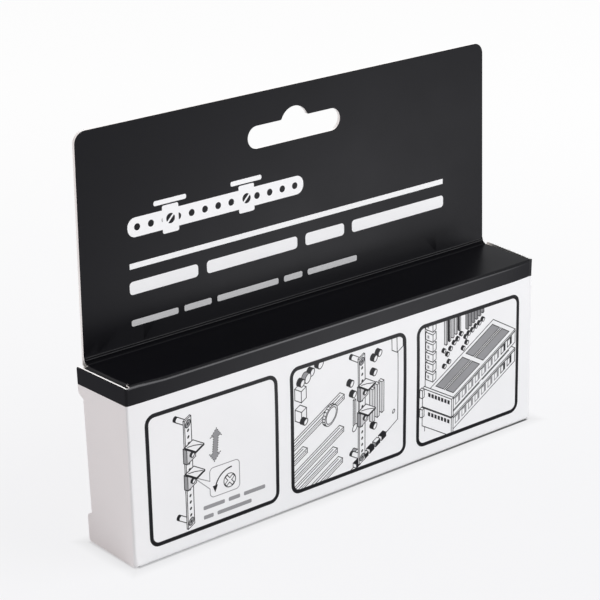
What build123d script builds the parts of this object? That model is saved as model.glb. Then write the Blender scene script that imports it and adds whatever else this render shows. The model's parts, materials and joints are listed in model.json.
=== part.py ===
from build123d import *
import os
from math import asin, cos, degrees, radians, sin, sqrt

# Folded hang-tab carton. One creased card blank makes the front, base, back and top walls and a raised
# two-ply header with a die-cut hang slot. Each end is closed by a flap that swings on the front panel's
# upright fold and tucks its tongue in behind the back panel, over two dust flaps.
# X runs along the carton, the front panel faces -Y, Z is up and the origin is the middle of the base.

# Driving dimensions, millimetres
carton_length = 144.0  # outside, over both end flaps
carton_depth = 20.5  # outside, front panel to back panel
box_height = 49.8  # base to top panel
header_rise = 61.2  # header above the top panel
card = 0.45  # board thickness
crease_radius = 0.3  # inside radius of every fold

header_inset = 1.0  # header's side edge at its foot, in from the carton's end
header_taper = 0.9  # header's further narrowing at its top, each side
header_corner = 3.2  # rounded top corners of the header
header_flare = 0.8  # rounded step where the header's side leaves the top panel
header_foot = 0.6  # soft fold between the top panel and the header

slot_length = 32.0  # hang slot, end to end
slot_width = 6.2  # hang slot, across its straight part
slot_drop = 12.1  # header's top edge down to the slot's centre line
hump_width = 9.0  # raised middle of the hang slot
hump_rise = 3.1
hump_fillet = 0.6

flap_gap = 0.3  # running gap between an end flap and the walls that it closes over
tuck_gap = 1.0  # room between the tongue and the back panel
flap_spring = 1.2  # degrees that the creased card holds a closed flap off square
floor_gap = 0.3  # end flap's lower edge above the surface the carton stands on
top_gap = 0.1  # end flap's upper edge below the top panel
corner_relief = 0.8  # end flap's corners cut back beside its fold
ear_height = 8.8  # ears at the flap's free edge, above and below the tongue, beside its fold
ear_taper = 1.3  # narrowing of an ear towards its end, on the tongue's side
ear_corner = 0.8
slit = 0.4  # cut between the tongue and each ear
tongue_length = 9.0
tongue_corner = 5.0

dust_length = 15.0  # dust flap, from the panel that it folds off
dust_corner = 3.0
dust_taper = 2.5  # narrowing of the dust flap on its front side

# Worked out from the driving dimensions
fold_radius = crease_radius + card
half_length = carton_length / 2
half_depth = carton_depth / 2
total_height = box_height + header_rise
header_half = half_length - header_inset
header_front = half_depth - 2 * card
end_face = half_length - card - flap_gap  # outer face of the dust flaps, cut end of the back panel
panel_end = end_face - fold_radius  # top and base panels start to turn into the dust flaps
front_end = half_length - fold_radius  # front panel starts to turn into the end flap
front_fold = fold_radius - half_depth  # end of that turn, along Y
mid_height = Plane.XY.offset(box_height / 2)

# The upright fold is parted half way round, and the flap swings on its outside line there. Opened by a
# right angle the flap then lies in line with the front panel.
fold_half = 45
hinge_inset = fold_radius * (1 - cos(radians(fold_half)))
hinge = (half_length - hinge_inset, hinge_inset - half_depth)

# The tongue is curved about the hinge, so that it slides out along its own arc.
tongue_radius = half_depth - card - tuck_gap - hinge[1]
tongue_turn = tongue_radius - fold_radius
tuck_x = half_length - fold_radius
tuck_y = hinge[1] + sqrt(tongue_turn**2 - (hinge[0] - tuck_x) ** 2)
tuck_lean = degrees(asin((hinge[0] - tuck_x) / tongue_turn))
tongue_sweep = degrees(tongue_length / tongue_radius)
tongue_tip = hinge[0] - tongue_radius * sin(radians(tuck_lean + tongue_sweep))
flap_height = box_height - floor_gap - top_gap
tongue_foot = ear_height + slit
tongue_width = box_height - 2 * tongue_foot

dust_front = front_fold + flap_gap
dust_rear = tuck_y - flap_gap
dust_lock = header_front - flap_gap  # shoulder that the flap's slit catches on
dust_lock_depth = ear_height - flap_gap


def bent_card(centre, outer_radius, start_angle, turn):
    """Adds card bent to an arc, seen edge on, to the sketch in hand."""
    with BuildLine() as strip:
        outside = CenterArc(centre, outer_radius, start_angle, turn)
        inside = CenterArc(centre, outer_radius - card, start_angle, turn)
        Line(outside @ 0, inside @ 0)
        Line(outside @ 1, inside @ 1)
    make_face(strip.edges())


# Dust flap at the right end, folded down off the top panel, with a shoulder at its rear for the slit lock
with BuildPart() as dust_flap:
    with BuildSketch(Plane.XZ):
        bent_card((panel_end, box_height - fold_radius), fold_radius, 0, 90)
        with Locations((end_face, box_height - fold_radius)):
            Rectangle(card, dust_length - fold_radius, align=(Align.MAX, Align.MAX))
    extrude(amount=half_depth, both=True)
    with BuildSketch(Plane.YZ) as dust_outline:
        with BuildLine():
            Polyline(
                (dust_front, box_height),
                (dust_front, box_height - fold_radius),
                (dust_front + dust_taper, box_height - dust_length),
                (dust_rear, box_height - dust_length),
                (dust_rear, box_height - dust_lock_depth),
                (dust_lock, box_height - dust_lock_depth),
                (dust_lock, box_height),
                close=True,
            )
        make_face()
        fillet(dust_outline.vertices().group_by(Axis.Y)[0], dust_corner)
    extrude(amount=carton_length, mode=Mode.INTERSECT)

# Front, base, back and top walls with the header: the right half, then its mirror image
with BuildPart() as carton_body:
    with BuildSketch(Plane.YZ) as wall_section:
        Rectangle(carton_depth, box_height, align=(Align.CENTER, Align.MIN))
        with Locations((half_depth, 0)):
            Rectangle(2 * card, total_height, align=(Align.MAX, Align.MIN))
        folds = wall_section.vertices().group_by(Axis.Y)[0]
        folds += wall_section.vertices().sort_by_distance((-half_depth, box_height))[:1]
        fillet(folds, fold_radius)
        fillet(wall_section.vertices().sort_by_distance((header_front, box_height))[0], header_foot)
        with BuildSketch(mode=Mode.SUBTRACT) as hollow:
            with Locations((0, card)):
                Rectangle(carton_depth - 2 * card, box_height - 2 * card, align=(Align.CENTER, Align.MIN))
            creases = hollow.vertices().sort_by_distance((half_depth, box_height))[1:]
            fillet(creases, crease_radius)
    extrude(amount=end_face)

    # Outline seen from the front: header corners, the step at its foot and the hang slot
    with BuildSketch(Plane.XZ) as front_outline:
        Rectangle(2 * end_face, box_height, align=(Align.CENTER, Align.MIN))
        with BuildLine():
            Polyline(
                (0, 0),
                (header_half, 0),
                (header_half, box_height),
                (header_half - header_taper, total_height),
                (0, total_height),
            )
            mirror(about=Plane.YZ)
        make_face()
        fillet(front_outline.vertices().group_by(Axis.Y)[-1], header_corner)
        for side in (-1, 1):
            foot = front_outline.vertices().sort_by_distance((side * header_half, box_height))[0]
            fillet(foot, min(header_flare, 0.9 * (end_face - header_half)))
        with BuildSketch(mode=Mode.SUBTRACT) as hang_slot:
            slot_middle = total_height - slot_drop
            slot_top = slot_middle + slot_width / 2
            with Locations((0, slot_middle)):
                SlotOverall(slot_length, slot_width)
            with BuildLine():
                ThreePointArc((-hump_width / 2, slot_top), (0, slot_top + hump_rise), (hump_width / 2, slot_top))
                Line((-hump_width / 2, slot_top), (hump_width / 2, slot_top))
            make_face()
            for side in (-1, 1):
                hump_foot = hang_slot.vertices().sort_by_distance((side * hump_width / 2, slot_top))[0]
                fillet(hump_foot, hump_fillet)
    extrude(amount=carton_depth, both=True, mode=Mode.INTERSECT)

    # The panels end where they turn into the dust flaps and the end flap
    with BuildSketch(Plane.XY):
        with Locations((panel_end, front_fold)):
            Rectangle(carton_length, header_front - front_fold, align=(Align.MIN, Align.MIN))
        with Locations((front_end, front_fold)):
            Rectangle(carton_length, carton_depth, align=(Align.MIN, Align.MAX))
    extrude(amount=box_height + header_foot, mode=Mode.SUBTRACT)

    # First half of the upright fold, and the dust flaps
    with BuildSketch(Plane.XY.offset(corner_relief)):
        bent_card((front_end, front_fold), fold_radius, 270, fold_half)
    extrude(amount=box_height - 2 * corner_relief)
    add(dust_flap.part)
    mirror(dust_flap.part, about=mid_height)
    mirror(about=Plane.YZ)

# Tongue at the right end: the tuck fold, then the curved tongue with its rounded lead-in corners
with BuildPart() as tuck_tongue:
    with BuildSketch(Plane.XY.offset(tongue_foot)):
        bent_card((tuck_x, tuck_y), fold_radius, 0, 90 + tuck_lean)
        bent_card(hinge, tongue_radius, 90 + tuck_lean, tongue_sweep)
    extrude(amount=tongue_width)
    with BuildSketch(Plane.XZ) as tongue_outline:
        with Locations((tongue_tip, tongue_foot)):
            Rectangle(carton_length, tongue_width, align=(Align.MIN, Align.MIN))
        lead_in = tongue_outline.vertices().group_by(Axis.X)[0]
        fillet(lead_in, min(tongue_corner, 0.45 * tongue_width))
    extrude(amount=carton_depth, both=True, mode=Mode.INTERSECT)

# End flap, square to the front: second half of the upright fold, the panel with its ears, and the tongue
with BuildPart() as square_flap:
    with BuildSketch(Plane.XY.offset(floor_gap)):
        bent_card((front_end, front_fold), fold_radius, 270 + fold_half, 90 - fold_half)
        with Locations((half_length, front_fold)):
            Rectangle(card, half_depth - front_fold, align=(Align.MAX, Align.MIN))
    extrude(amount=flap_height)
    with BuildSketch(Plane.YZ) as flap_outline:
        with Locations((0, floor_gap)):
            Rectangle(carton_depth, flap_height, align=(Align.CENTER, Align.MIN))
        with BuildLine():
            Polyline(
                (tuck_y, ear_height),
                (half_depth, ear_height - ear_taper),
                (half_depth, box_height - ear_height + ear_taper),
                (tuck_y, box_height - ear_height),
                close=True,
            )
        make_face(mode=Mode.SUBTRACT)
        chamfer(flap_outline.vertices().group_by(Axis.X)[0], corner_relief)
        fillet(flap_outline.vertices().group_by(Axis.X)[-1], ear_corner)
    extrude(amount=carton_length, mode=Mode.INTERSECT)
    add(tuck_tongue.part)

# The closed flaps stand a little open on their folds
with BuildPart() as right_end_flap:
    add(square_flap.part.rotate(Axis(hinge, (0, 0, 1)), -flap_spring))
with BuildPart() as left_end_flap:
    mirror(right_end_flap.part, about=Plane.YZ)

os.makedirs("parts", exist_ok=True)
carton_body.part.label = "carton_body"
export_step(carton_body.part, "parts/carton_body.step")
right_end_flap.part.label = "right_end_flap"
export_step(right_end_flap.part, "parts/right_end_flap.step")
left_end_flap.part.label = "left_end_flap"
export_step(left_end_flap.part, "parts/left_end_flap.step")
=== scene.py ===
import json
from cmath import exp
from itertools import accumulate
from math import asin, atan2, cos, pi, radians, sin, sqrt

import bmesh
import bpy
from mathutils import Matrix, Vector
from mathutils.geometry import delaunay_2d_cdt


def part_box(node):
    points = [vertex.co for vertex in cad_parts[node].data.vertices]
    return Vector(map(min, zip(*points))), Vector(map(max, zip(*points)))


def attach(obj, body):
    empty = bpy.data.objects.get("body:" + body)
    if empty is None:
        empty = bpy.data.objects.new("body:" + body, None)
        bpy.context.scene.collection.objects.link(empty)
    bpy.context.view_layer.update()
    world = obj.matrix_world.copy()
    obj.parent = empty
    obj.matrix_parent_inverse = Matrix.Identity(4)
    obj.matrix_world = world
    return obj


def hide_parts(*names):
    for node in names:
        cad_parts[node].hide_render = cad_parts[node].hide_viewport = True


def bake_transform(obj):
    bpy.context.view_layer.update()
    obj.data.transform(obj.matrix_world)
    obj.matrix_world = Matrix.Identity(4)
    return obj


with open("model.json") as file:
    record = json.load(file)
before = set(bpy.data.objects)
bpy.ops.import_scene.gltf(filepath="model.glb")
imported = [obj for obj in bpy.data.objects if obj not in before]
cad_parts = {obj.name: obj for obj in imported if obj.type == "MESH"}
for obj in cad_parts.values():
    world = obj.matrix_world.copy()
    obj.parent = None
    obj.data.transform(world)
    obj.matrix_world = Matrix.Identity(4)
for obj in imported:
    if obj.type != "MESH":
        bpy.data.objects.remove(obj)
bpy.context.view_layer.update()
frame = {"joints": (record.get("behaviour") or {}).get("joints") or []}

# Carton body: one die-cut blank of coated card, printed black over white, creased and folded round the box.
# It is drawn flat in millimetres, X along the carton and Y up the front panel, and then folded. The top panel
# runs on into the front ply of the header and the back panel into its back ply, glued face to face.
mm = 0.001
low, high = (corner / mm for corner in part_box("carton_body"))
card = 0.44  # board thickness, a hair under the plies' spacing
ply = 0.45
fold_radius = 0.75  # outside radius of the top's front fold and of the upright folds
base_radius = 0.6
foot_radius = 0.15  # fold between the top panel and the header
box_height = 49.8
band_foot = 44.85  # lower edge of the black print
front_end = 71.25  # front panel starts to turn into the end flap, from the carton's middle
back_end = 70.7  # cut end of the back panel
header_half = 71.0
header_taper = 0.9
header_corner = 3.2
slot_length = 32.0
slot_width = 6.2
slot_drop = 12.1
hump_width = 9.0
hump_rise = 3.1
hump_fillet = 0.6
bead_heights = (51.2, 51.85)  # creasing ridges along the header's foot
bead_width = 0.5
bead_rise = 0.09
dust_length = 15.0
dust_gap = 0.4
dust_lock = 8.0
dust_shoulder = 1.2
dust_taper = 2.5
dust_corner = 3.0
dust_bleed = 4.0  # black print on the dust flaps

# How this carton has worked loose. Its two ends differ, with -1 for the left one and 1 for the right one.
bulge_depth = 0.45  # front panel's swelling
bulge_lean = 1.6  # moves the swelling up from the panel's middle
foot_flares = {-1: -0.6, 1: 1.2}  # header's side edge, askew at its foot
flare_height = 2.4
foot_pulls = {-1: 0.85, 1: 0.3}  # foot of an upright fold, drawn in along the front
pull_height = 4.0
pull_start = 64.0
curl_depths = {-1: 0.2, 1: 0.5}  # ends of the front panel, curled back
curl_start = 62.0
pop_rises = {-1: 0.35, 1: 0.15}  # ends of the top panel, standing up
pop_start = 60.0
pop_end = 68.0
pop_fade = 4.0
dust_radii = {-1: 1.2, 1: 0.25}  # end folds of the top and base panels
dust_creases = {-1: 70.05, 1: 71.3}
dust_skews = {-1: 0, 1: 0.8}
corner_tabs = {-1: 0.9, 1: 0}  # strip of the top panel beside its front fold that stays flat
corner_notch = 0.5  # notch that the left front corner is cut with
notch_foot = 0.45

header_front = high.y - 2 * ply
half_length = front_end + fold_radius
quarter = pi / 2
crease = fold_radius * quarter
runs = (
    (high.z - box_height - foot_radius, 0),
    (foot_radius * quarter, -quarter),
    (header_front - foot_radius - low.y - fold_radius, 0),
    (crease, quarter),
    (box_height - fold_radius - base_radius, 0),
    (base_radius * quarter, quarter),
    (high.y - low.y - 2 * base_radius, 0),
    (base_radius * quarter, quarter),
    (high.z - base_radius, 0),
)
blank_top = box_height - fold_radius + sum(length for length, turn in runs[:4])
levels = [blank_top - reach for reach in accumulate((length for length, turn in runs), initial=0)]
header_top, foot_top, top_rear, top_front, front_top = levels[:5]
front_foot, base_front, base_rear, back_foot, back_top = levels[5:]


def ramp(value, start, end):
    """0 up to the start and 1 from the end on, with a straight line between."""
    return min(max((value - start) / (end - start), 0), 1)


def header_level(height):
    """Place on the blank of a height on the header's front ply."""
    return header_top - high.z + height


def back_level(height):
    """Place on the blank of a height on the back panel or the header's back ply."""
    return back_top + high.z - height


def wall(level):
    """Walks the folds round the box: depth and height of a level, and the way out of its card."""
    place = complex(header_front, high.z)
    heading = -1j
    reach = blank_top - level
    for length, turn in runs:
        step = min(max(reach, 0), length)
        bend = turn / length
        place += heading * (step if turn == 0 else (exp(1j * bend * step) - 1) / (1j * bend))
        heading *= exp(1j * bend * step)
        reach -= length
    return place, heading * -1j


def bead(level):
    """Two fine ridges that the creasing rule leaves along the header's foot."""
    off = min(abs(level - header_level(height)) for height in bead_heights) / bead_width
    return bead_rise * cos(pi * off) ** 2 if off < 0.5 else 0


def bulge(x, level):
    """How far the front panel swells between its folds, most in its upper middle."""
    share = (level - front_foot) / (front_top - front_foot)
    across = cos(pi * x / (2 * half_length))
    return bulge_depth * across * sin(pi * share**bulge_lean) if 0 < share < 1 else 0


def foot_pull(side, height):
    """How far the foot of an upright fold is drawn in along the front panel."""
    return foot_pulls[side] * (1 - ramp(height, 0, pull_height)) ** 2


def end_curl(x, height):
    """How far the upper front panel curls back towards its upright folds."""
    reach = ramp(abs(x), curl_start, front_end)
    return curl_depths[1 if x > 0 else -1] * reach**2 * height / box_height


def corner_pop(x, level):
    """How far the top's ends stand up: the left one at its front fold, the right one up to the header."""
    reach = ramp(abs(x), pop_start, pop_end) * ramp(level, front_top, top_front)
    fade_start = foot_top if x > 0 else top_front
    return pop_rises[1 if x > 0 else -1] * reach * (1 - ramp(level, fade_start, fade_start + pop_fade))


def on_tab(side, level):
    """Whether a level lies on the strip that stays flat beside the left end of the top's front fold."""
    return top_front <= level < top_front + corner_tabs[side] + dust_gap / 2


def dust_fold(side, level):
    """Where along the carton a panel turns into its dust flap. The top panel's right fold lies askew."""
    return dust_creases[side] + dust_skews[side] * ramp(level, top_front, top_rear)


def fold_body(x, level, lift=0):
    """Point of the flat blank, lifted off the print, on the folded carton."""
    place, way = wall(level)
    side = 1 if x > 0 else -1
    radius = dust_radii[side]
    fold_start = dust_fold(side, level)
    out = abs(x) - fold_start
    lies_flat = abs(way.imag) > 0.999
    if out > 0 and lies_flat and not on_tab(side, level):
        angle = min(out / radius, quarter)
        drop = radius * (1 - cos(angle)) + max(out - radius * quarter, 0)
        reach = fold_start + radius * sin(angle)
        point = Vector((side * reach, place.real, place.imag - way.imag * drop))
        normal = Vector((side * sin(angle), 0, way.imag * cos(angle)))
    else:
        point = Vector((x, place.real, place.imag))
        normal = Vector((0, way.real, way.imag))
        lift = lift + bead(level) + bulge(x, level)
    if base_front - 0.01 < level < top_front:
        point.x -= side * ramp(abs(x), pull_start, front_end) * foot_pull(side, place.imag)
        point.y += end_curl(x, place.imag) * (1 - ramp(level, front_top, top_front))
    point.z += corner_pop(x, level)
    return (point + normal * lift) * mm


class Wire:
    """One output of a material's nodes. Sums and products of wires add the Math nodes for them."""

    def __init__(self, tree, socket=None):
        self.tree = tree
        self.socket = socket

    def node(self, kind, settings, sockets, output=0):
        made = self.tree.nodes.new("ShaderNode" + kind)
        for name, value in settings.items():
            setattr(made, name, value)
        for name, value in sockets.items():
            if isinstance(value, Wire):
                self.tree.links.new(value.socket, made.inputs[name])
            else:
                made.inputs[name].default_value = value
        return Wire(self.tree, made.outputs[output] if made.outputs else None)

    def maths(self, operation, first, second):
        return self.node("Math", {"operation": operation}, {0: first, 1: second})

    def __add__(self, other):
        return self.maths("ADD", self, other)

    def __radd__(self, other):
        return self.maths("ADD", other, self)

    def __sub__(self, other):
        return self.maths("SUBTRACT", self, other)

    def __rsub__(self, other):
        return self.maths("SUBTRACT", other, self)

    def __mul__(self, other):
        return self.maths("MULTIPLY", self, other)

    def __rmul__(self, other):
        return self.maths("MULTIPLY", other, self)

    def between(self, start, end):
        """0 below start and 1 above end, with a soft ramp."""
        settings = {"interpolation_type": "SMOOTHSTEP"}
        return self.node("MapRange", settings, {"Value": self, "From Min": start, "From Max": end})

    def mix(self, first, second):
        """Colour between two, with this wire as the share of the second."""
        settings = {"data_type": "RGBA"}
        return self.node("Mix", settings, {0: self, 6: first, 7: second}, output=2)


def card_finish(name, colour, roughness, shine=0.5, tooth=0.06, mottle=0.05, rub_and_highlight=None, grain="blank"):
    """Card surface: mottled colour, paper tooth under the varnish and, on print, folds lightened by rubbed
    ink and painted highlight.
    """
    material = bpy.data.materials.new(name)
    material.use_nodes = True
    tree = material.node_tree
    tree.nodes.clear()
    start = Wire(tree)
    if grain == "blank":
        place = start.node("UVMap", {"uv_map": "blank"}, {})
    else:
        place = start.node("TexCoord", {}, {}, output=3)
    fibres = start.node("TexNoise", {}, {"Vector": place, "Scale": 3200, "Detail": 4, "Roughness": 0.6})
    peel = start.node("TexNoise", {}, {"Vector": place, "Scale": 420, "Detail": 2})
    clouds = start.node("TexNoise", {}, {"Vector": place, "Scale": 60, "Detail": 3})
    shade = tuple(part * (1 - mottle) for part in colour[:3]) + (1,)
    tint = (clouds * 0.6 + fibres * 0.4).between(0.35, 0.65).mix(colour, shade)
    # On print, folds and ridges are lightened: partly rubbed ink, partly a painted highlight.
    if rub_and_highlight:
        rub_and_highlight_share = start.node("Attribute", {"attribute_name": "rub_and_highlight_share"}, {}, output=2)
        tint = (rub_and_highlight_share * (0.3 + 0.8 * fibres + 0.6 * clouds)).between(0.1, 1.0).mix(tint, rub_and_highlight)
    surface = peel * 0.5 + fibres * 0.5
    bump = start.node("Bump", {}, {"Strength": tooth, "Distance": 0.05 * mm, "Height": surface})
    gloss = roughness + 0.1 * (clouds - 0.5) + 0.06 * (fibres - 0.5)
    sockets = {"Base Color": tint, "Roughness": gloss, "Specular IOR Level": shine, "Normal": bump}
    shader = start.node("BsdfPrincipled", {}, sockets)
    start.node("OutputMaterial", {}, {"Surface": shader})
    return material


ink_colour = (0.0016, 0.0015, 0.0030, 1)
# Light grey of rubbed ink, which also serves as the painted highlight along folds and ridges.
rubbed_ink = (0.13, 0.13, 0.135, 1)
black_print = card_finish("black_print", ink_colour, 0.34, shine=0.85, mottle=0.2, rub_and_highlight=rubbed_ink)
white_print = card_finish("white_print", (0.85, 0.85, 0.86, 1), 0.42, tooth=0.05, mottle=0.02)
card_inside = card_finish("card_inside", (0.66, 0.65, 0.62, 1), 0.85, tooth=0.3, mottle=0.12)
cut_edge = card_finish("cut_edge", (0.95, 0.95, 0.945, 1), 0.9, tooth=0.4, mottle=0.08, grain="object")

# Three kinds of face: black print, white print, and black print whose cut edge has taken ink. Each kind has
# its print, its inside and its cut edge.
black_face, white_face, inked_face = range(3)
card_materials = [black_print, white_print, black_print]
card_materials += [card_inside, card_inside, card_inside]
card_materials += [cut_edge, cut_edge, black_print]


def flat_face(bm, points):
    """One flat face on the blank, from its corners."""
    return bm.faces.new([bm.verts.new((x, level, 0)) for x, level in points])


def round_corners(bm, face, corners, radius, segments=8):
    """Rounds the corners of a flat face that lie at these places, all with the same radius."""
    wanted = []
    for vert in face.verts:
        if any((vert.co.xy - Vector(place)).length < 1e-3 for place in corners):
            wanted.append(vert)
    bmesh.ops.bevel(
        bm, geom=wanted, offset=radius, offset_type="OFFSET", affect="VERTICES",
        segments=segments, profile=0.5, material=-1,
    )


def cut_across(bm, axis, places):
    """Cuts everything drawn on the blank along straight lines, across X or across Y."""
    for place in places:
        spot = Vector((0, 0, 0))
        spot[axis] = place
        way = Vector((0, 0, 0))
        way[axis] = 1
        geometry = bm.verts[:] + bm.edges[:] + bm.faces[:]
        bmesh.ops.bisect_plane(bm, geom=geometry, dist=1e-4, plane_co=spot, plane_no=way)


def piece(name, bm, materials):
    """Object of a finished mesh, smooth shaded."""
    mesh = bpy.data.meshes.new(name)
    bm.to_mesh(mesh)
    bm.free()
    for material in materials:
        mesh.materials.append(material)
    mesh.shade_smooth()
    made = bpy.data.objects.new(name, mesh)
    bpy.context.scene.collection.objects.link(made)
    return made


def thicken(made, thickness, sides=1):
    """Gives a folded sheet its thickness, inwards, with the materials of its inside and its cut edges."""
    body = made.modifiers.new("card", "SOLIDIFY")
    body.thickness = thickness * mm
    body.offset = -1
    body.use_even_offset = True
    body.use_quality_normals = True
    body.material_offset = len(made.data.materials) // 3 * (sides - 1)
    body.material_offset_rim = 2 * body.material_offset
    solid = bpy.data.meshes.new_from_object(made.evaluated_get(bpy.context.evaluated_depsgraph_get()))
    solid.set_sharp_from_angle(angle=radians(50))
    made.modifiers.clear()
    made.data = solid


def fill_outlines(bm):
    """Fills what the outlines drawn on the blank enclose, with the slots left open."""
    bmesh.ops.delete(bm, geom=bm.faces[:], context="FACES_ONLY")
    bmesh.ops.triangle_fill(bm, use_beauty=True, edges=bm.edges[:], normal=(0, 0, 1))


def fold_sheet(bm, fold, rub_and_highlight_share):
    """Keeps the flat place of the print as a map, and folds the sheet."""
    chart = bm.loops.layers.uv.new("blank")
    rub_and_highlight = bm.verts.layers.float.new("rub_and_highlight_share")
    for face in bm.faces:
        for loop in face.loops:
            loop[chart].uv = loop.vert.co.xy * mm
    for vert in bm.verts:
        vert[rub_and_highlight] = rub_and_highlight_share(vert.co.x, vert.co.y)
        vert.co = fold(vert.co.x, vert.co.y, vert.co.z)


def steps(start, end, count):
    """Evenly spaced places from start to end, both included."""
    return [start + (end - start) * index / count for index in range(count + 1)]


def dust_edge(side, rear, front):
    """Outline of a dust flap between two levels of its panel, with a shoulder that the slit locks on."""
    way = 1 if front > rear else -1
    bend_end = dust_creases[side] + dust_radii[side] * quarter
    lock = bend_end + dust_lock - dust_radii[side]
    tip = bend_end + dust_length - dust_radii[side]
    back = rear + way * dust_gap
    return [
        (dust_creases[side], back),
        (lock, back),
        (lock, back + way * dust_shoulder),
        (tip, back + way * dust_shoulder),
        (tip, front - way * (dust_gap + dust_taper)),
        (bend_end, front - way * dust_gap),
        (dust_creases[side], front - way * dust_gap),
    ]


def sheet_edge(side):
    """One side of the blank, from the front ply's top to the back ply's. Its two ends are cut differently."""
    flare = foot_flares[side]
    dust_crease = dust_creases[side]
    tab_end = top_front + corner_tabs[side]
    top_dust = dust_edge(side, top_rear, tab_end)
    base_dust = dust_edge(side, base_rear, base_front)
    if side < 0:
        foot = [(dust_crease, top_rear), top_dust[0]]
        notch_end = front_end - corner_notch
        notch_level = front_top + notch_foot
        corner = [(notch_end, tab_end), (notch_end, notch_level), (front_end, notch_level)]
    else:
        foot = [(dust_fold(side, top_rear) + dust_radii[side], top_dust[0][1])]
        corner = [(front_end, tab_end)]
    edge = [
        (header_half - header_taper, header_top),
        (header_half, foot_top + flare_height),
        (header_half + 0.3 * flare, foot_top + 0.4 * flare_height),
        (header_half + flare, foot_top),
        *foot,
        *top_dust[1:],
        (dust_crease, tab_end),
        *corner,
        (front_end, base_front),
        (dust_crease, base_front),
        *reversed(base_dust),
        (dust_crease, base_rear),
        (back_end, base_rear),
        (back_end, back_level(box_height)),
        (header_half, back_level(box_height)),
        (header_half - header_taper, back_top),
    ]
    return [(side * x, level) for x, level in edge]


bm = bmesh.new()
outline = flat_face(bm, sheet_edge(1) + sheet_edge(-1)[::-1])
top_half = header_half - header_taper
header_corners = [(side * top_half, level) for side in (-1, 1) for level in (header_top, back_top)]
round_corners(bm, outline, header_corners, header_corner)
outline = bm.faces[:][0]
foot_corners = [(side * header_half, back_level(box_height)) for side in (-1, 1)]
round_corners(bm, outline, foot_corners, 0.9 * (header_half - back_end))
outline = bm.faces[:][0]
dust_corners = []
for side in (-1, 1):
    for rear, front in ((top_rear, top_front + corner_tabs[side]), (base_rear, base_front)):
        tip, level = dust_edge(side, rear, front)[4]
        dust_corners.append((side * tip, level))
round_corners(bm, outline, dust_corners, dust_corner)

hump_radius = (hump_width**2 / 4 + hump_rise**2) / (2 * hump_rise)
hump_sink = hump_radius - hump_rise
hump_foot = sqrt((hump_radius + hump_fillet) ** 2 - (hump_fillet + hump_sink) ** 2)
hump_lean = atan2(hump_foot, hump_fillet + hump_sink)
half_hump = [(hump_foot - hump_fillet * sin(t), hump_fillet * (1 - cos(t))) for t in steps(0, hump_lean, 4)]
half_hump += [(hump_radius * sin(t), hump_radius * cos(t) - hump_sink) for t in steps(hump_lean, 0, 8)[1:]]
hump = half_hump + [(-x, rise) for x, rise in half_hump[-2::-1]]
half_slot = slot_length / 2
slot_round = slot_width / 2 - 0.01  # just short of a half circle
for middle, way in ((header_top - slot_drop, 1), (back_top + slot_drop, -1)):
    near = middle + way * slot_width / 2
    far = middle - way * slot_width / 2
    ends = [(-half_slot, near), (-half_slot, far), (half_slot, far), (half_slot, near)]
    slot = flat_face(bm, ends + [(x, near + way * rise) for x, rise in hump])
    round_corners(bm, slot, ends, slot_round, segments=10)

fill_outlines(bm)
fold_margin = 0.4  # cuts beside a fold, which keep its shading narrow
rub_and_highlight_cuts = (0.2, 0.42)  # cuts below the top's front fold, where the rubbing and painted highlight fade out
bends = (
    (foot_top, top_rear, 3),
    (top_front, front_top, 6),
    (front_foot, base_front, 6),
    (base_rear, back_foot, 6),
)
front_levels = steps(front_top, front_foot, 14)[1:-1]
columns = steps(-60, 60, 15) + [side * x for side in (-1, 1) for x in steps(62, 70, 4)]
for start, end, count in bends:
    cut_across(bm, 1, steps(start, end, count))
    cut_across(bm, 1, (start + fold_margin, end - fold_margin))
cut_across(bm, 1, front_levels)
cut_across(bm, 1, steps(front_foot, pull_height, 3)[1:])
cut_across(bm, 1, [front_top - drop for drop in rub_and_highlight_cuts])
cut_across(bm, 1, steps(top_rear, top_front, 3)[1:-1])
cut_across(bm, 1, steps(header_top, foot_top, 8)[1:-1])
cut_across(bm, 1, steps(back_foot, back_top, 10)[1:-1])
for height in bead_heights:
    bead_middle = header_level(height)
    cut_across(bm, 1, steps(bead_middle - bead_width / 2, bead_middle + bead_width / 2, 6))
cut_across(bm, 1, (band_foot, back_level(band_foot)))
for side in (-1, 1):
    bend_end = dust_fold(side, top_rear) + dust_radii[side] * quarter
    cut_across(bm, 0, [side * x for x in steps(dust_creases[side], bend_end, 12)])
    beside_bend = (dust_creases[side] - fold_margin, bend_end + fold_margin)
    cut_across(bm, 0, [side * x for x in (*beside_bend, front_end + dust_bleed)])
cut_across(bm, 0, columns)

inked_top = 1.5  # inked cut edges: on the top panel at its right front corner
inked_flap = 6.0  # and on the dust flap behind the left corner's notch
tab_end = top_front + corner_tabs[-1]
for face in bm.faces:
    middle = face.calc_center_median()
    in_band = middle.y > band_foot or middle.y < back_level(band_foot)
    in_black = in_band and abs(middle.x) < front_end + dust_bleed
    at_corner = middle.x > columns[-1] and band_foot < middle.y < top_front + inked_top
    behind_notch = middle.x < -dust_creases[-1] and tab_end < middle.y < top_front + inked_flap
    if at_corner or (in_black and behind_notch):
        face.material_index = inked_face
    else:
        face.material_index = black_face if in_black else white_face

# Lightened print along the folds and the header's creasing ridges: partly rubbed ink, partly painted
# highlight, placed low on the top's front fold and fading to its right.
rub_and_highlight_width = 0.35 * crease
rub_and_highlight_fades = ((10, 60, 0.35), (58, 70, 0.4))  # along the front fold: from, to, and how much less is rubbed and highlighted
ridge_rub_and_highlight = 0.8
ridge_width = 0.3 * bead_width
ridge_end = header_half - 0.5
end_rub_and_highlight = 0.4
end_middle = dust_creases[-1] + 0.4
end_width = 1.8


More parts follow.
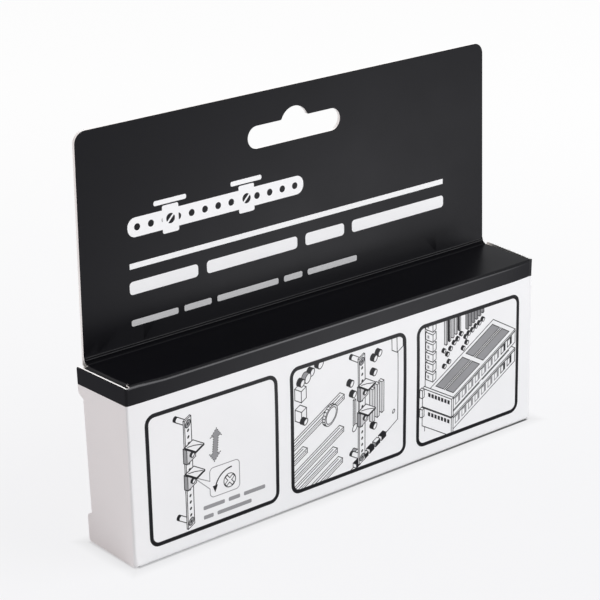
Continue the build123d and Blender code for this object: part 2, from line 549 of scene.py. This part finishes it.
def body_rub_and_highlight(x, level):
    """How far the ink is lightened, by rubbing and painted highlight: on the top's front fold, less to its
    right, its left one and the ridges.
    """
    rubbed = front_top + (corner_pop(x, top_front) if x < 0 else 0)
    fade = sum(share * ramp(x, start, end) for start, end, share in rub_and_highlight_fades)
    fold = (1 - abs(level - rubbed) / rub_and_highlight_width) * (1 - fade)
    off_ridge = min(abs(level - header_level(height)) for height in bead_heights)
    ridge = ridge_rub_and_highlight - off_ridge / ridge_width if abs(x) < ridge_end else 0
    on_top = top_front < level < top_rear
    end_fold = end_rub_and_highlight - abs(x + end_middle) / end_width if on_top else 0
    return max(fold, ridge, end_fold, 0)


def no_rub_and_highlight(x, level):
    """Ink that is neither rubbed nor highlighted anywhere."""
    return 0


fold_sheet(bm, fold_body, body_rub_and_highlight)
carton = piece("carton_card", bm, card_materials)
thicken(carton, card, sides=2)
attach(carton, "carton")
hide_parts("carton_body")

# End flaps: the outer closing flap at each end, part of the front panel's sheet and creased beside it.
# Two ears show outside at the free edge, and the tongue between them tucks in behind the back panel.
floor_gap = 0.3
top_gap = 0.05
corner_relief = 0.6
lower_ear = 9.3
upper_ear = 8.7
ear_taper = 1.3
ear_corner = 0.8
slit = 0.4
tongue_length = 9.0
tongue_corner = 5.0
tuck_gap = 1.0
flap_leans = {-1: (1.0, 1.3), 1: (3.6, 1.2)}  # degrees off square at mid height, and more at the top
corner_rises = {-1: -0.2, 1: 0.2}  # flap's top corner beside its crease
corner_flat = 0.35 * crease
corner_run = 1.1 * crease
fold_spreads = {-1: 0, 1: 0.25}  # upright fold, standing out
corner_spreads = {-1: 0, 1: 0.15}  # and further at its top
spread_height = 2.0
spread_share = 0.4  # part of the crease that the fold takes to stand out
ear_lift = 0.35
ear_bows = {-1: 1, 1: 0.45}

hinge_x, hinge_y, hinge_z = (abs(part) / mm for part in frame["joints"][0]["pos_m"])
hinge = Vector((hinge_x, -hinge_y))
front_fold = low.y + fold_radius
tongue_radius = high.y - ply - tuck_gap - hinge.y
tuck_y = hinge.y + sqrt((tongue_radius - fold_radius) ** 2 - (hinge.x - front_end) ** 2)
tuck_turn = quarter + asin((hinge.x - front_end) / (tongue_radius - fold_radius))
tuck_line = front_end + crease + tuck_y - front_fold
ear_end = front_end + crease + high.y - front_fold
tuck_end = tuck_line + fold_radius * tuck_turn
tongue_end = tuck_end + tongue_length


def fold_flap(x, height, lift=0):
    """Point of the flat flap on the closed carton: round the crease, along the end and in at the tuck."""
    side = 1 if x > 0 else -1
    out = abs(x) - front_end
    past_tuck = abs(x) - tuck_line
    in_tongue = lower_ear < height < box_height - upper_ear and past_tuck > 0
    if out < crease:
        angle = out / fold_radius - quarter
        centre = Vector((front_end, front_fold))
        radius = fold_radius
    elif in_tongue and past_tuck < fold_radius * tuck_turn:
        angle = past_tuck / fold_radius
        centre = Vector((front_end, tuck_y))
        radius = fold_radius
    elif in_tongue:
        angle = tuck_turn + (past_tuck - fold_radius * tuck_turn) / tongue_radius
        centre = hinge
        radius = tongue_radius
    else:
        angle = 0
        centre = Vector((front_end, front_fold + out - crease))
        radius = fold_radius
    point = centre + (radius + lift) * Vector((cos(angle), sin(angle)))
    share = ramp(out, 0, crease)
    point.x -= foot_pull(side, height) * (1 - share)
    corner_share = max(height - box_height + spread_height, 0) / spread_height
    spread = fold_spreads[side] + corner_spreads[side] * corner_share
    point.x += spread * ramp(share, 0, spread_share)
    point.y += end_curl(side * front_end, height) * (1 - share)
    rise = ear_lift * ramp(out, crease, ear_end - front_end) ** ear_bows[side]
    spring, twist = flap_leans[side]
    lean = radians(spring + twist * (2 * height / box_height - 1))
    point = hinge + Matrix.Rotation(-lean * share, 2) @ (point - hinge)
    return Vector((side * point.x, point.y, height + rise)) * mm


def flap_edge(side):
    """Outline of an end flap, from the foot of its crease round by the ears to the crease's top."""
    top = box_height - top_gap
    edge = [
        (front_end, corner_relief),
        (front_end + corner_relief, floor_gap),
        (ear_end, floor_gap),
        (ear_end, lower_ear - ear_taper),
        (tuck_line, lower_ear),
        (tuck_line, lower_ear + slit),
        (tongue_end, lower_ear + slit),
        (tongue_end, box_height - upper_ear - slit),
        (tuck_line, box_height - upper_ear - slit),
        (tuck_line, box_height - upper_ear),
        (ear_end, box_height - upper_ear + ear_taper),
        (ear_end, top),
        (front_end + corner_run, top),
        (front_end + corner_flat, top + corner_rises[side]),
        (front_end, top + corner_rises[side]),
    ]
    return [(side * x, height) for x, height in edge]


bend_end = front_end + crease
flap_columns = (
    steps(front_end, bend_end, 8),
    steps(tuck_line, tuck_end, 8),
    steps(tuck_end, tongue_end, 6),
    (bend_end + fold_margin, tuck_line - fold_margin),
    steps(bend_end, tuck_line, 4)[1:-1],
)
for name, side in (("left", -1), ("right", 1)):
    bm = bmesh.new()
    edge = flap_edge(side)
    outline = flat_face(bm, edge)
    ear_corners = [place for place in edge if abs(place[0]) == ear_end]
    round_corners(bm, outline, ear_corners, ear_corner)
    outline = bm.faces[:][0]
    tongue_corners = [place for place in edge if abs(place[0]) == tongue_end]
    round_corners(bm, outline, tongue_corners, tongue_corner)
    fill_outlines(bm)
    for places in flap_columns:
        cut_across(bm, 0, [side * x for x in places])
    cut_across(bm, 1, steps(0, box_height, 12)[1:-1])
    cut_across(bm, 1, steps(0, pull_height, 4)[1:])
    cut_across(bm, 1, (band_foot, box_height - top_gap))
    for face in bm.faces:
        middle = face.calc_center_median()
        if middle.y < band_foot:
            face.material_index = white_face
        else:
            face.material_index = inked_face if middle.y > box_height - top_gap else black_face
    fold_sheet(bm, fold_flap, no_rub_and_highlight)
    flap = piece(name + "_flap_card", bm, card_materials)
    thicken(flap, card, sides=2)
    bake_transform(flap)
    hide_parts(name + "_end_flap")

# Print on the front: three rounded frames round line drawings of how a support bar is fitted, in black lines
# and grey tone straight on the white card. They are drawn on the flat blank, later shapes over earlier ones,
# and the ink that stays on top becomes a film on the folded card, cut off at each frame.
ink_depth = 0.03
ink_rise = 0.02
thin_line = 0.23
frame_line = 1.12
frame_corner = 3.0
frame_low = 3.95
frame_high = 41.0
frame_sides = ((-66.95, -24.1), (-19.95, 22.0), (25.95, 66.85))
drawn_from = ((-54.0, 22.0), (5.1, 22.2), (31.0, 21.0))
isometric = radians(30)
bar_round = 0.28  # corner of a plain bar, as a share of its height
paper, black, grey, pale, white = range(5)


def arc(centre, radius, start, end, count=8):
    """Points of an arc, with its angles in degrees."""
    turn = [radians(angle) for angle in steps(start, end, count)]
    return [Vector(centre) + radius * Vector((cos(angle), sin(angle))) for angle in turn]


def rounded(left, low_edge, right, high_edge, radius):
    """Outline of a rectangle with rounded corners, from its upper right corner round by the left."""
    inner_left, inner_right = left + radius, right - radius
    inner_low, inner_high = low_edge + radius, high_edge - radius
    points = arc((inner_right, inner_high), radius, 0, 90, 6)
    points += arc((inner_left, inner_high), radius, 90, 180, 6)
    points += arc((inner_left, inner_low), radius, 180, 270, 6)
    points += arc((inner_right, inner_low), radius, 270, 360, 6)
    return points


class Drawing:
    """Shapes on the flat blank, inside a window. Things with depth are shown in isometric view."""

    def __init__(self, border, border_ink, window, origin=(0, 0)):
        self.shapes = [(border, border_ink), (window, paper)]
        self.origin = Vector(origin)

    def area(self, points, ink):
        self.shapes.append((points, ink))

    def line(self, points, ink=black, width=thin_line):
        for start, end in zip(points, points[1:]):
            along = (end - start).normalized() * width / 2
            across = Vector((-along.y, along.x))
            first, last = start - along, end + along
            self.area((first - across, last - across, last + across, first + across), ink)

    def outlined(self, points, tone=paper, ink=black, width=thin_line):
        self.area(points, tone)
        self.line(points + points[:1], ink, width)

    def dotted(self, points, gap, size, ink=black):
        for start, end in zip(points, points[1:] + points[:1]):
            count = max(round((end - start).length / gap), 1)
            for index in range(count):
                self.area(arc(start.lerp(end, index / count), size, 0, 300, 5), ink)

    def spot(self, along, up, out):
        """Place of a point that lies along the board, up it and out from it."""
        return self.origin + Vector((cos(isometric) * (along + out), up + sin(isometric) * (along - out)))

    def on_board(self, x, height):
        """How far along the board and up it a place on the blank lies."""
        along = (x - self.origin.x) / cos(isometric)
        return along, height - self.origin.y - sin(isometric) * along

    def round_spots(self, along, up, out, radius, start=0, end=360, count=16):
        """Points of a circle that lies on the board, or above it."""
        turn = [radians(angle) for angle in steps(start, end, count)]
        return [self.spot(along + radius * cos(angle), up + radius * sin(angle), out) for angle in turn]

    def field(self, along, up, out, tone):
        """Upright field of a tone, along the board or, with equal limits along it, out from it."""
        foot = [self.spot(along[end], up[0], out[end]) for end in (0, 1)]
        head = [self.spot(along[end], up[1], out[end]) for end in (1, 0)]
        self.area(foot + head, tone)

    def block(self, along, up, out, tones=(paper, paper, paper)):
        """Box between three pairs of limits: its top, its outer face and its near end."""
        (near, far), (foot, top), (inner, outer) = along, up, out
        faces = (
            ((near, top, inner), (near, top, outer), (far, top, outer), (far, top, inner)),
            ((near, foot, outer), (far, foot, outer), (far, top, outer), (near, top, outer)),
            ((near, foot, inner), (near, foot, outer), (near, top, outer), (near, top, inner)),
        )
        for corners, tone in zip(faces, tones):
            self.outlined([self.spot(*corner) for corner in corners], tone)

    def can(self, along, up, out, radius, tone=black):
        """Round can that stands out from the board, with its side in a tone and its end bare."""
        side = self.round_spots(along, up, out[0], radius, 45, 225, 8)
        side += self.round_spots(along, up, out[1], radius, 225, 405, 8)
        self.outlined(side, tone)
        self.outlined(self.round_spots(along, up, out[1], radius)[:-1])

    def pad(self, along, up, out):
        """Support pad on its clamp, held on a bar."""
        clamp_tones = (pale, pale, grey)
        self.block((along - 0.4, along + 2.8), (up - 4.4, up - 0.4), (out - 0.5, out + 0.8), clamp_tones)
        self.can(along + 1.2, up - 2.7, (out + 0.8, out + 1.4), 0.55)
        self.block((along - 0.3, along + 2.8), (up - 0.4, up), (out, out + 4.0), (paper, black, black))
        self.line([self.spot(along + 0.2, up, out + 0.6), self.spot(along + 1.4, up, out + 1.9)])
        self.line([self.spot(along + 1.4, up, out + 1.9), self.spot(along + 2.3, up, out + 3.6)])

    def bar(self, along, up, out, pads):
        """Upright support bar with its row of holes, a peg at each end, and pads."""
        middle, face = along + 1.2, out + 0.5
        ends = (up[0] + 1.4, up[1] - 1.4)
        for height in ends:
            self.can(middle, height, (out - 4.2, out - 3.2), 0.6)
            self.can(middle, height, (out - 3.4, out), 0.6, paper)
        self.block((along, along + 2.4), up, (out, face))
        for height in steps(*ends, round((ends[1] - ends[0]) / 1.9)):
            self.area(self.round_spots(middle, height, face, 0.42, count=8)[:-1], black)
        for height in ends:
            self.outlined(self.round_spots(middle, height, face, 0.95)[:-1], grey)
            self.area(self.round_spots(middle, height, face, 0.4, count=8)[:-1], black)
        for height in pads:
            self.pad(along, height, face)

    def bar_row(self, left, middle, height, lengths, gap, ink):
        """Row of plain rounded bars, all of one height."""
        low_edge, high_edge = middle - height / 2, middle + height / 2
        for length in lengths:
            self.area(rounded(left, low_edge, left + length, high_edge, height * bar_round), ink)
            left += length + gap


def print_film(name, drawings, inks):
    """Keeps the ink that stays on top in some drawings, as one thin film on the folded card."""
    bm = bmesh.new()
    for drawing in drawings:
        ends = list(accumulate(len(points) for points, ink in drawing.shapes))
        corners = [point for points, ink in drawing.shapes for point in points]
        outlines = [list(range(end - len(points), end)) for end, (points, ink) in zip(ends, drawing.shapes)]
        parted = delaunay_2d_cdt(corners, [], outlines, 1, 1e-5)
        places, fields, covers = parted[0], parted[2], parted[5]
        verts = [bm.verts.new((place.x, place.y, ink_rise)) for place in places]
        for field, cover in zip(fields, covers):
            if 1 in cover:
                ink = drawing.shapes[max(cover)][1]
            else:
                ink = drawing.shapes[0][1] if 0 in cover else paper
            if ink != paper:
                bm.faces.new([verts[index] for index in field]).material_index = inks.index(ink)
    bmesh.ops.delete(bm, geom=[vert for vert in bm.verts if not vert.link_faces], context="VERTS")
    cut_across(bm, 1, front_levels)
    cut_across(bm, 0, columns)
    fold_sheet(bm, fold_body, no_rub_and_highlight)
    film = piece(name, bm, [ink_materials[ink] for ink in inks])
    film.data.shade_flat()
    thicken(film, ink_depth)
    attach(film, "carton")
    return film


grey_print = card_finish("grey_print", (0.3, 0.3, 0.31, 1), 0.4, mottle=0.08)
pale_print = card_finish("pale_print", (0.62, 0.62, 0.63, 1), 0.4, mottle=0.05)
white_ink = card_finish("white_ink", (0.93, 0.93, 0.94, 1), 0.4, mottle=0.02)
ink_materials = {black: black_print, grey: grey_print, pale: pale_print, white: white_ink}
frames = []
for (left, right), origin in zip(frame_sides, drawn_from):
    border = rounded(left, frame_low, right, frame_high, frame_corner)
    inside = (left + frame_line, frame_low + frame_line, right - frame_line, frame_high - frame_line)
    frames.append(Drawing(border, black, rounded(*inside, frame_corner - frame_line), origin))
adjusting, placing, supporting = frames

# Frame on the left: a pad is moved along the bar, as an arrow shows. Its screw is drawn again, larger, in a
# balloon with a turning arrow, above two rows of plain bars.
balloon = rounded(-47.3, 12.2, -37.5, 20.6, 1.3)
left_side = len(balloon) // 2
balloon[left_side:left_side] = [Vector((-47.3, 17.0)), Vector((-52.6, 19.8)), Vector((-47.3, 14.8))]
adjusting.outlined(balloon, ink=grey)
adjusting.bar(-1.3, (-15.5, 14.9), 0, pads=(0.4, 7.8))
screw = Vector((-40.8, 15.4))
adjusting.outlined(arc(screw, 1.95, 0, 345, 23))
for width, ink in ((1.1, black), (0.65, paper)):
    for angle in (40, 130):
        reach = 1.3 * Vector((cos(radians(angle)), sin(radians(angle))))
        adjusting.line([screw - reach, screw + reach], ink, width)
sweep = arc((-40.0, 13.4), 5.7, 92, 166, 12)
adjusting.line(sweep, width=0.38)
adjusting.area([sweep[-1] + Vector(tip) for tip in ((-0.9, 0.5), (-0.1, -1.4), (0.8, 0.6))], black)
half_arrow = [(0, 0), (1.8, 2.3), (0.8, 2.3), (0.8, 6.9), (1.8, 6.9)]
arrow = half_arrow + [(-x, 9.2 - y) for x, y in half_arrow]
travel = [Vector((-45.6 + x + 0.1 * y, 22.2 + y)) for x, y in arrow]
adjusting.area(travel, grey)
adjusting.dotted(travel, 0.7, 0.17)
adjusting.bar_row(-49.6, 9.9, 1.1, (7.0, 3.8, 7.2), 1.3, grey)
adjusting.bar_row(-49.6, 7.2, 1.1, (3.2, 11.4), 1.3, grey)

# Frame in the middle: the bar with its pads is put on a board. Long slots, cans, fins and connectors stand on
# the board round it.
placing.line([Vector(place) for place in ((18.8, 41.0), (18.8, 15.4), (13.0, 11.6), (1.0, 4.8))])
long_slots = ((-2.6, 29.4, 22), (-2.8, 19.8, 22), (-5.1, 14.1, 18), (-3.2, 10.6, 16), (-15.8, 17.4, 6))
for x, height, length in long_slots:
    along, up = placing.on_board(x, height)
    middle = up - 0.65
    placing.block((along - length, along), (up - 1.3, up), (0, 1.8))
    placing.line([placing.spot(along - length, up, 0.8), placing.spot(along - 0.8, up, 0.8)])
    placing.line([placing.spot(along - length, middle, 1.8), placing.spot(along - 0.8, middle, 1.8)], grey)
    placing.area(placing.round_spots(along - 0.6, middle, 1.8, 0.25, count=6)[:-1], black)
for x, height in ((-18.4, 31.6), (-18.4, 25.6)):
    along, up = placing.on_board(x, height)
    placing.block((along, along + 2.0), (up, up + 3.2), (0, 2.6))
for x, height, radius, tone in (
    (-10.4, 40.2, 1.1, black), (-13.4, 38.7, 0.9, black), (-15.0, 37.4, 1.2, grey), (-16.9, 36.5, 0.9, black),
    (-16.0, 25.1, 0.8, black), (10.9, 37.7, 0.8, black), (9.2, 36.6, 0.8, black), (9.0, 32.5, 0.8, black),
    (0.5, 31.5, 0.8, black), (1.4, 28.1, 0.8, black), (9.0, 16.5, 0.8, black), (2.2, 10.6, 0.7, grey),
):
    along, up = placing.on_board(x, height)
    placing.can(along, up, (0, 1.5), radius, tone)
along, up = placing.on_board(-6.6, 24.1)
placing.can(along, up, (0, 1.0), 2.6, paper)
placing.outlined(placing.round_spots(along, up, 1.0, 2.1)[:-1])
rims = [placing.round_spots(along, up, out, 2.6, 60, 220, 9) for out in (0, 1.0)]
for inner, outer in zip(*rims):
    placing.line([inner, outer])
for x, height, rise in ((11.6, 19.8, 9.2), (9.9, 18.8, 9.8), (8.2, 17.8, 9.8)):
    along, up = placing.on_board(x, height)
    placing.block((along, along + 0.8), (up, up + rise), (0, 1.4), (paper, paper, pale))
along, up = placing.on_board(2.2, 18.2)
placing.block((along, along + 0.6), (up, up + 7.6), (0, 0.5))
placing.outlined(placing.round_spots(along + 0.2, up - 0.6, 0.5, 1.0)[:-1])
for index, (x, height) in enumerate(((11.6, 11.3), (9.4, 10.0), (7.2, 8.7), (5.0, 7.4), (2.2, 5.7))):
    along, up = placing.on_board(x, height)
    tones = (paper, black, grey) if index % 2 else (black, black, paper)
    placing.block((along, along + 1.8), (up, up + 1.2), (0, 1.4), tones)
along, up = placing.on_board(16.6, 36.6)
placing.block((along, along + 2.6), (up, up + 6.0), (0, 2.2))
placing.outlined(placing.round_spots(*placing.on_board(17.2, 18.2), 0, 0.5, count=10)[:-1])
placing.bar(-1.2, (-15.6, 15.8), 0, pads=(0.6, 8.2))

# Frame on the right: two long plain cards lie one above the other over the board. Ports stand at the board's
# edge, and memory, fins and cans behind the cards.
supporting.line([Vector((29.2, 41.0)), Vector((29.2, 8.6))])
for height in (24.4, 27.4, 30.4, 33.4, 36.4, 39.4):
    along, up = supporting.on_board(29.4, height)
    supporting.block((along, along + 1.4), (up, up + 2.2), (0, 3.2))
    supporting.field((along, along), (up + 0.6, up + 1.5), (0.7, 1.5), grey)
for index in range(5):
    along, up = supporting.on_board(36.6 + 1.3 * index, 33.0 + 0.75 * index)
    end_tone = black if index in (1, 4) else pale
    supporting.block((along, along + 0.5), (up, up + 9), (0, 0.9), (paper, paper, end_tone))
for index in range(6):
    along, up = supporting.on_board(45.0 + 1.2 * index, 35.6 + 0.7 * index)
    supporting.block((along, along + 0.5), (up, up + 7), (0, 1.0), (paper, grey, grey))
for x, height in (
    (36.0, 31.4), (37.4, 30.0), (38.6, 31.4), (40.0, 32.8), (41.4, 33.6), (42.8, 34.8), (36.2, 26.6),
    (38.0, 27.6), (44.6, 33.4), (45.8, 34.2), (47.2, 34.8), (48.6, 35.6), (50.0, 36.2), (45.0, 31.6),
    (43.6, 30.2), (51.4, 37.0),
):
    along, up = supporting.on_board(x, height)
    supporting.can(along, up, (0, 0.9), 0.5)
drawn_length = 29
drawn_depth = 10.6
outer_face = (drawn_depth, drawn_depth)
for top in (-5.9, 0):
    supporting.block((0, drawn_length), (top - 4.1, top), (0, drawn_depth))
    for near, far in ((1.6, 13.6), (15.2, 27.4)):
        for inner, outer in ((1.2, 4.6), (5.8, 9.2)):
            corners = ((near, inner), (near, outer), (far, outer), (far, inner))
            supporting.outlined([supporting.spot(along, top, out) for along, out in corners], grey)
        supporting.line([supporting.spot(near, top, 5.2), supporting.spot(far, top, 5.2)], width=0.35)
    for near in steps(1.2, 25.2, 8):
        tone = black if near > 20 else grey
        supporting.field((near, near + 2.2), (top - 3.2, top - 0.9), outer_face, tone)
        supporting.field((near + 0.3, near + 1.3), (top - 2.9, top - 1.2), outer_face, paper)
    rib_ends = [supporting.spot(along, top - 0.6, drawn_depth) for along in (0, drawn_length)]
    supporting.line(rib_ends, width=0.35)
    supporting.block((-0.8, 0), (top - 5.4, top + 0.2), (-2.4, 10.9))
    for out in steps(0.2, 9.0, 6):
        supporting.field((-0.8, -0.8), (top - 1.7, top - 0.5), (out, out + 1.0), black)
    supporting.block((-0.8, 0), (top - 3.0, top - 0.6), (-3.6, -2.4))

print_film("front_print", frames, (black, grey, pale))

# Print on the header: white ink on the black, printed like the front while the card is flat. A drawn bar with
# two pads stands over a rule and two rows of plain bars.
bar_low, bar_high = header_level(80.4), header_level(85.6)
bar_middle = (bar_low + bar_high) / 2
screw_slot = Vector((0.8, 0.8))
rule_low = header_level(72.07)
sheet_low, sheet_high = header_level(53.0), header_level(95.0)
whole = rounded(-68.0, sheet_low, 68.0, sheet_high, 1.0)
header_drawing = Drawing(whole, paper, whole)
header_drawing.area(rounded(-55.6, bar_low, 2.6, bar_high, 2.4), white)
for x in steps(-52.6, -0.4, 12):
    header_drawing.area(arc((x, bar_middle), 0.95, 0, 345, 23), paper)
for x in (-42.0, -17.0):
    header_drawing.area(rounded(x - 2.6, bar_low - 1.2, x + 2.6, bar_high + 1.2, 0.5), white)
    header_drawing.area(rounded(x - 5.2, bar_high + 1.6, x + 5.2, bar_high + 2.9, 0.5), white)
    header_drawing.area(arc((x, bar_middle), 1.4, 0, 345, 23), paper)
    screw = Vector((x, bar_middle))
    header_drawing.line([screw - screw_slot, screw + screw_slot], white, 0.5)
header_drawing.area(rounded(-55.5, rule_low, 54.7, rule_low + 1.5, 0.1), white)
header_drawing.bar_row(-55.8, header_level(66.9), 3.5, (22, 31, 14, 35), 2.9, white)
header_drawing.bar_row(-55.7, header_level(57.4), 1.7, (15, 9, 21, 6.5, 18), 1.95, pale)
header_print = print_film("header_print", [header_drawing], (white, pale))
# The top panel's varnish is kept from mirroring the white ink.
header_print.visible_glossy = False

# Studio: a pale floor, painted a little lighter towards the back right, with a faint shadow that is partly
# painted, a large soft box high at the front right, a weaker warm one at the back left, and an even sky.
# Mirrored in gloss, the floor is painted dark with one light streak, a painted reflection that the black
# print shows as its sheen. The camera stands where the photograph was taken from, a little turned.
floor_glow = 0.93
contact_shade = 0.12
floor_material = bpy.data.materials.new("pale_floor")
floor_material.use_nodes = True
floor_material.node_tree.nodes.clear()
start = Wire(floor_material.node_tree)
seen = start.node("LightPath", {}, {}, output="Is Camera Ray")
mirrored = start.node("LightPath", {}, {}, output="Is Glossy Ray")
place = start.node("TexCoord", {}, {}, output=3)
across = start.node("SeparateXYZ", {}, {"Vector": place}, output=0)
away = start.node("SeparateXYZ", {}, {"Vector": place}, output=1)
beside = start.maths("ABSOLUTE", across, 0) - (half_length - 0.4) * mm
before = start.maths("ABSOLUTE", away, 0) - high.y * mm
outside = start.maths("MAXIMUM", beside, before)
# Painted shadow: a dark line in the floor's colour under the carton's edges, darkest under the right half of
# its front.
at_front = 1 - beside.between(-1.2 * mm, -0.2 * mm)
crevice_shadow = 0.3 + at_front * (0.28 + 0.42 * across.between(-0.08, 0.06))
crevice_shadow = crevice_shadow * (1 - outside.between(0.15 * mm, 0.8 * mm))
# Painted shadow: the floor's pale colour darkens within 5 mm of the carton.
shade = contact_shade * (1 - outside.between(0, 5 * mm))
# Painted light: the floor's pale colour is lighter towards the back right.
seen_colour = (0.8 * across + 0.6 * away).between(-0.15, 0.45).mix((0.91, 0.91, 0.925, 1), (1, 1, 1, 1))
seen_colour = shade.mix(seen_colour, (0, 0, 0, 1))
# Painted reflection: what gloss sees of the floor is dark with one light streak, which the black print shows
# as sheen.
streak = 0.58 * across + 0.82 * away
lit = streak.between(-0.095, -0.04) * (1 - 0.9 * streak.between(-0.03, 0.015))
lit = lit * (1 - away.between(-0.11, -0.01))
lit = lit * (0.35 + 0.65 * away.between(-0.33, -0.24))
mirrored_colour = lit.mix((0.13, 0.13, 0.15, 1), (0.96, 0.96, 1, 1))
glow = start.node("Emission", {}, {"Color": mirrored.mix(seen_colour, mirrored_colour), "Strength": 1.0})
# The floor's diffuse colour is painted dark along the line under the carton's edges.
matt = start.node("BsdfDiffuse", {}, {"Color": crevice_shadow.mix((0.82, 0.82, 0.83, 1), (0.1, 0.1, 0.1, 1))})
share = floor_glow * (1 - crevice_shadow) * (seen + mirrored)
start.node("OutputMaterial", {}, {"Surface": start.node("MixShader", {}, {0: share, 1: matt, 2: glow})})
bm = bmesh.new()
bmesh.ops.create_grid(bm, x_segments=1, y_segments=1, size=4)
floor = piece("floor", bm, (floor_material,))

world = bpy.data.worlds.new("studio")
world.use_nodes = True
world.node_tree.nodes.clear()
start = Wire(world.node_tree)
seen = start.node("LightPath", {}, {}, output="Is Camera Ray")
mirrored = start.node("LightPath", {}, {}, output="Is Glossy Ray")
sky_strength = 0.35 + 0.63 * seen - 0.1 * mirrored
sky = start.node("Background", {}, {"Color": (0.97, 0.98, 1, 1), "Strength": sky_strength})
start.node("OutputWorld", {}, {"Surface": sky})
bpy.context.scene.world = world

for name, place, size, power, colour in (
    ("front_softbox", (0.59, -0.63, 1.03), 0.9, 17.5, (1, 1, 1)),
    ("left_fill", (-0.62, 0.5, 0.55), 0.5, 3.3, (1, 0.84, 0.8)),
):
    lamp = bpy.data.lights.new(name, "AREA")
    lamp.size = size
    lamp.energy = power
    lamp.color = colour
    holder = bpy.data.objects.new(name, lamp)
    holder.location = place
    holder.rotation_mode = "QUATERNION"
    holder.rotation_quaternion = (Vector((0, 0, 0.05)) - Vector(place)).to_track_quat("-Z", "Y")
    holder.visible_glossy = False
    bpy.context.scene.collection.objects.link(holder)

camera_place = (-0.33722, -0.39879, 0.24271)
camera_heading = 39.619
camera_elevation = 19.991
camera_roll = 1.166
camera = bpy.data.objects.new("camera", bpy.data.cameras.new("camera"))
camera.data.lens = 122.93
camera.data.sensor_width = 36
pan = Matrix.Rotation(-radians(camera_heading), 4, "Z")
tilt = Matrix.Rotation(radians(90 - camera_elevation), 4, "X")
roll = Matrix.Rotation(-radians(camera_roll), 4, "Z")
camera.matrix_world = Matrix.Translation(camera_place) @ (pan @ tilt) @ roll
bpy.context.scene.collection.objects.link(camera)
bpy.context.scene.camera = camera
bpy.context.scene.view_settings.view_transform = "Standard"
